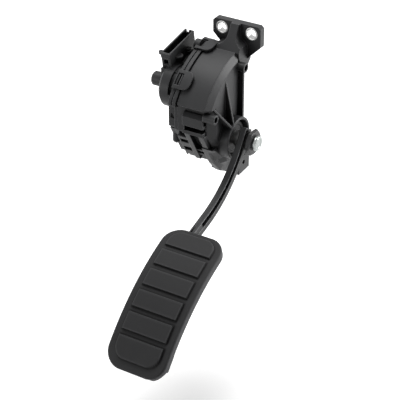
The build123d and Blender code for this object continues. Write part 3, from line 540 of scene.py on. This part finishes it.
# black nut with a washer face against the arm and a waist behind it, chamfered on both sides
hexCollar = dict(
    segments=96, flats=21.4,
    corners=(
        (28.9, 4.2, 0.1), (28.9, 9.2, 0.3), (29.8, 9.2, 0.3), (30.1, 7.4, 0.2), (32.9, 7.4, 0.2),
        (33.0, 10.9, 0.2), (33.6, 12.4, 0.2), (35.8, 12.4, 0.2), (36.8, 10.9, 0.3), (36.8, 4.2, 0.1),
    ),
)
addTurned("hexCollar", hexCollar, ringProfile(hexCollar["corners"]), "collar_black", "hex_collar")

# dust disc inside the collar: a raised rim round a lower middle
hubDisc = dict(
    segments=96,
    corners=(
        (12.0, 6.0, 0.2), (12.0, 15.4, 0.4), (15.5, 15.7, 0.6), (16.4, 14.7, 0.5),
        (16.4, 12.7, 0.3), (15.4, 12.0, 0.4), (15.4, 6.0, 0.2),
    ),
)
# the disc is darkened all over as painted shade
addTurned("hubDisc", hubDisc, ringProfile(hubDisc["corners"]), "arm_nylon", "hub_disc", shaded=True)

# arm: millimetres and degrees, lengths run along its front edge from a point beside the pivot
pedalArm = dict(
    startX=22.0, startY=-37.0, startZ=-92.0, frontOffset=11.5, headRun=-13.4, kneeRun=41.7, footRun=64.8,
    dip=58.7, lay=17.5, bendRadius=100.0, lean=2.5, stations=160, runDigits=4, cornerSteps=4,
    grooveFrom=-11.6, grooveTail=19.0, slitTail=(12.8, 3.8), fade=1.5, fadeSteps=6, sharpAngle=40.0,
    # across, back from the front edge, rounding, moved across by the groove, moved back by the slit
    section=(
        (0.0, 0.0, 0.4, 0.0, 0.0), (1.3, 0.0, 0.05, 0.0, 0.0), (1.5, 0.1, 0.05, 0.0, 2.4),
        (3.0, 0.1, 0.05, 0.0, 2.4), (3.2, 0.0, 0.05, 0.0, 0.0), (5.2, 0.0, 0.05, 0.0, 0.0),
        (5.8, 0.0, 0.25, 0.0, 0.0), (5.8, 0.7, 0.12, 0.0, 0.0), (5.6, 0.9, 0.08, -3.2, 0.0),
        (5.6, 6.0, 0.08, -3.2, 0.0), (5.8, 6.2, 0.12, 0.0, 0.0), (5.8, 7.0, 0.2, 0.0, 0.0),
        (5.2, 7.3, 0.15, 0.0, 0.0), (5.2, 13.0, 0.6, 0.0, 0.0), (0.0, 13.0, 0.6, 0.0, 0.0),
    ),
    # corners lightened as painted highlights and corners darkened as painted shade, counted along the section
    markCorners={"armRidgeHighlight": (6, 7, 10, 11), "armFlankShade": (12, 13)},
    headCorners=((24.2, 4.6, 0.2), (24.2, 8.8, 0.5), (28.9, 8.8, 0.5), (28.9, 4.6, 0.2)), segments=72,
    tongueX=(18.0, 40.0), tongueRadius=(194.4, 199.4), tongueSpan=(16.4, 36.0), tongueSteps=(12, 30),
)


def joinShells(shells):
    # shells one after another, each one's faces counted on from the points before it
    starts = np.cumsum([0] + [points.size // 3 for points, faces in shells[:-1]])
    allPoints = np.concatenate([points.reshape(-1, 3) for points, faces in shells])
    return allPoints, np.concatenate([faces + start for start, (points, faces) in zip(starts, shells)])


def sweptArm(arm):
    # the front edge is the running sum of its direction, whose dip goes evenly from one angle to the other
    # round the bend; the section stands square to it, and its groove and slit fade in and out along the length
    turnAngle = math.radians(arm["dip"] - arm["lay"])
    tangent = arm["bendRadius"] * math.tan(turnAngle / 2)
    bendFrom = arm["kneeRun"] - tangent
    bendTo = bendFrom + arm["bendRadius"] * turnAngle
    end = bendTo + arm["footRun"] - tangent
    run = np.linspace(arm["headRun"], end, arm["stations"])
    ramps = [arm["grooveFrom"], end - arm["grooveTail"], end - arm["slitTail"][0], end - arm["slitTail"][1]]
    extra = (np.array(ramps)[:, None] + np.linspace(0.0, arm["fade"], arm["fadeSteps"])).ravel()
    run = np.unique(np.round(np.concatenate((run, extra)), arm["runDigits"]))
    dip = np.radians(np.interp(run, (bendFrom, bendTo), (arm["dip"], arm["lay"])))
    between = (dip[1:] + dip[:-1]) / 2
    steps = np.diff(run)[:, None] * -np.stack((np.cos(between), np.sin(between)), axis=-1)
    ahead = np.array((-np.cos(dip[0]), -np.sin(dip[0])))
    square = np.array((-np.sin(dip[0]), np.cos(dip[0])))
    travel = np.concatenate((np.zeros((1, 2)), np.cumsum(steps, axis=0)))
    front = run[0] * ahead + arm["frontOffset"] * square + travel
    passed = smoothStep((run - np.array(ramps)[:, None]) / arm["fade"])
    groove = passed[0] * (1 - passed[1])
    slit = np.clip((run - ramps[2]) / (ramps[3] - ramps[2]), 0.0, 1.0) * (1 - passed[3])
    corners = np.array(arm["section"])
    still = np.zeros(len(corners))
    plain, grooved, slitted = (
        roundedProfile(corners[:, :3] + np.column_stack((across, inward, still)), arm["cornerSteps"])
        for across, inward in ((still, still), (corners[:, 3], still), (still, corners[:, 4]))
    )
    section = plain + groove[:, None, None] * (grooved - plain) + slit[:, None, None] * (slitted - plain)
    lean = arm["lean"] * (end - run) / (end - run[0])
    x = arm["startX"] + lean[:, None] + section[..., 0]
    y = arm["startY"] + front[:, :1] + section[..., 1] * np.sin(dip)[:, None]
    z = arm["startZ"] + front[:, 1:] - section[..., 1] * np.cos(dip)[:, None]
    body = np.stack((x, y, z), axis=-1)
    caps = [np.broadcast_to(row.mean(axis=0), row.shape)[None] for row in (body[0], body[-1])]
    body = np.concatenate((caps[0], body, caps[1])) * mm
    return body, gridFaces(*body.shape[:2], closed=True)


def armTongue(arm, pad):
    # a plate bent round the pad's axis, between two radii
    rows, columns = arm["tongueSteps"]
    x = np.linspace(*arm["tongueX"], rows)[:, None] * mm
    angle = np.radians(np.linspace(*arm["tongueSpan"], columns))[None, :]
    layers = [bentLayer(pad, x, radius * mm, angle) for radius in reversed(arm["tongueRadius"])]
    return np.stack(layers), shellFaces(rows, columns)


def sectionMark(arm, corners, sections, total):
    # one on the chosen corners of every section, nothing elsewhere
    chosen = np.isin(np.arange(len(arm["section"])), corners)
    ring = np.repeat(chosen, arm["cornerSteps"]).astype(float)
    mark = np.zeros(total)
    mark[: sections * ring.size] = np.tile(ring, sections)
    return mark


armHead = pivotShell(pedalArm, ringProfile(pedalArm["headCorners"]))
armShells = [sweptArm(pedalArm), armHead, armTongue(pedalArm, padTread)]
armPoints, armFaces = joinShells(armShells)
armSections = len(armShells[0][0])
armMarks = {
    name: sectionMark(pedalArm, corners, armSections, len(armPoints))
    for name, corners in pedalArm["markCorners"].items()
}
addPiece(
    "pedalArm", armPoints, armFaces, "pedal", "arm_nylon", "pedal_arm", pedalArm["sharpAngle"], armMarks
)

# two steel sleeves pressed into the plate: millimetres along the hole, radius and rounding
plateBushes = dict(
    segments=72, holesX=(-15.0, 15.0),
    corners=((0.0, 4.5, 0.4), (0.0, 6.0, 0.3), (-7.1, 6.0, 0.35), (-7.1, 4.5, 0.6)),
)
along, first, second = latheSurface(ringProfile(plateBushes["corners"]), plateBushes["segments"])
sleeves = [np.stack((first + holeX, along, second), axis=-1) * mm for holeX in plateBushes["holesX"]]
sleeveFaces = gridFaces(*along.shape, closed=True)
bushPoints, bushFaces = joinShells([(sleeve, sleeveFaces) for sleeve in sleeves])
addPiece("plateBushes", bushPoints, bushFaces, "housing", "bright_steel", "mounting_bushes", turnedSharp)
print("new pieces made")

# stage: pale paper floor and white world, which glow only where they are seen or mirrored
studio = dict(
    floorSize=6.0, floorDrop=0.0505, floorColour=0.55, floorSpread=0.005,
    paperScale=30.0, paperDetail=2.0, paperGrain=0.5, paperRough=0.9,
    nearGlow=0.5, farGlow=0.97, glowCentre=(0.06, -0.2), glowSpan=(0.02, 0.16), worldLight=0.04,
)
white = (1.0, 1.0, 1.0, 1.0)
floorZ = cadBox[0][2] - studio["floorDrop"]  # room for the pad at full travel


def floorMesh(size, z):
    half = size / 2
    mesh = bpy.data.meshes.new("studioFloor")
    corners = [(-half, -half, z), (half, -half, z), (half, half, z), (-half, half, z)]
    mesh.from_pydata(corners, [], [(0, 1, 2, 3)])
    floor = bpy.data.objects.new("studioFloor", mesh)
    scene.collection.objects.link(floor)
    return floor


def seenDirectly(tree):
    path = tree.nodes.new("ShaderNodeLightPath")
    seen = mathNode(tree, "ADD", path.outputs["Is Camera Ray"], path.outputs["Is Glossy Ray"], clamp=True)
    return mathNode(tree, "ADD", seen, path.outputs["Is Transmission Ray"], clamp=True)


floor = floorMesh(studio["floorSize"], floorZ)
paper = bpy.data.materials.new("studioPaper")
paper.use_nodes = True
paperTree = paper.node_tree
paperShader = paperTree.nodes["Principled BSDF"]
paperPlace = paperTree.nodes.new("ShaderNodeTexCoord").outputs["Object"]
shade = noiseNode(
    paperTree, paperPlace, studio["paperScale"], studio["paperDetail"], studio["paperGrain"]
)
paperLow = tint(white, studio["floorColour"] - studio["floorSpread"])
paperHigh = tint(white, studio["floorColour"] + studio["floorSpread"])
paperTree.links.new(colourMix(paperTree, shade, paperLow, paperHigh), paperShader.inputs["Base Color"])
paperShader.inputs["Roughness"].default_value = studio["paperRough"]
paperShader.inputs["Specular IOR Level"].default_value = 0.0
paperShader.inputs["Emission Color"].default_value = white
# painted light: the floor's glow is lower round the pad's foot and near full further out, which washes its
# shadow out away from the foot
reach = paperTree.nodes.new("ShaderNodeVectorMath")
reach.operation = "DISTANCE"
paperTree.links.new(paperPlace, reach.inputs[0])
reach.inputs[1].default_value = (*studio["glowCentre"], floorZ)
spread = rampNode(paperTree, reach.outputs["Value"], *studio["glowSpan"])
level = valueRange(paperTree, spread, studio["nearGlow"], studio["farGlow"])
glow = mathNode(paperTree, "MULTIPLY", seenDirectly(paperTree), level)
paperTree.links.new(glow, paperShader.inputs["Emission Strength"])
floor.data.materials.append(paper)

world = bpy.data.worlds.new("studioWorld")
scene.world = world
world.use_nodes = True
worldTree = world.node_tree
backdrop = worldTree.nodes["Background"]
backdrop.inputs["Color"].default_value = white
whiteShare = mathNode(worldTree, "MULTIPLY", seenDirectly(worldTree), 1.0 - studio["worldLight"])
worldTree.links.new(mathNode(worldTree, "ADD", whiteShare, studio["worldLight"]), backdrop.inputs["Strength"])


# soft lights: metres and watts, each turned to the middle of the object
softboxes = {
    "overheadBox": dict(place=(-0.3, 0.05, 1.15), size=(0.8, 0.8), watts=16.0),
    "sideBox": dict(place=(1.02, 0.8, 0.25), size=(0.7, 0.5), watts=21.0),
    "frontBox": dict(place=(-0.9, -1.1, 0.0), size=(0.9, 0.4), watts=6.5),
}


def addSoftbox(name, box, target):
    light = bpy.data.lights.new(name, "AREA")
    light.shape = "RECTANGLE"
    light.size, light.size_y = box["size"]
    light.energy = box["watts"]
    lamp = bpy.data.objects.new(name, light)
    lamp.location = box["place"]
    lamp.rotation_euler = (Vector(target) - Vector(box["place"])).to_track_quat("-Z", "Y").to_euler()
    scene.collection.objects.link(lamp)


middle = [(low + high) / 2 for low, high in zip(*cadBox)]
for name, box in softboxes.items():
    addSoftbox(name, box, middle)

# camera at the photograph's angle: degrees and metres, focal length in pixels, sensor in millimetres
shot = dict(
    azimuth=31.06, elevation=31.06, place=(0.57066, -1.01745, 0.52293),
    focal=1421.35, framePixels=400, sensorWidth=36.0, clipStart=0.05,
)
turn, lift = math.radians(shot["azimuth"]), math.radians(shot["elevation"])
right = Vector((math.cos(turn), math.sin(turn), 0.0))
back = Vector((math.sin(turn) * math.cos(lift), -math.cos(turn) * math.cos(lift), math.sin(lift)))
up = back.cross(right)
camera = bpy.data.objects.new("camera", bpy.data.cameras.new("camera"))
camera.data.sensor_fit = "HORIZONTAL"
camera.data.sensor_width = shot["sensorWidth"]
camera.data.lens = shot["focal"] / shot["framePixels"] * shot["sensorWidth"]
camera.data.clip_start = shot["clipStart"]
camera.matrix_world = Matrix.Translation(shot["place"]) @ Matrix((right, up, back)).transposed().to_4x4()
scene.collection.objects.link(camera)
scene.camera = camera
scene.view_settings.view_transform = "Standard"
print("stage and camera set")
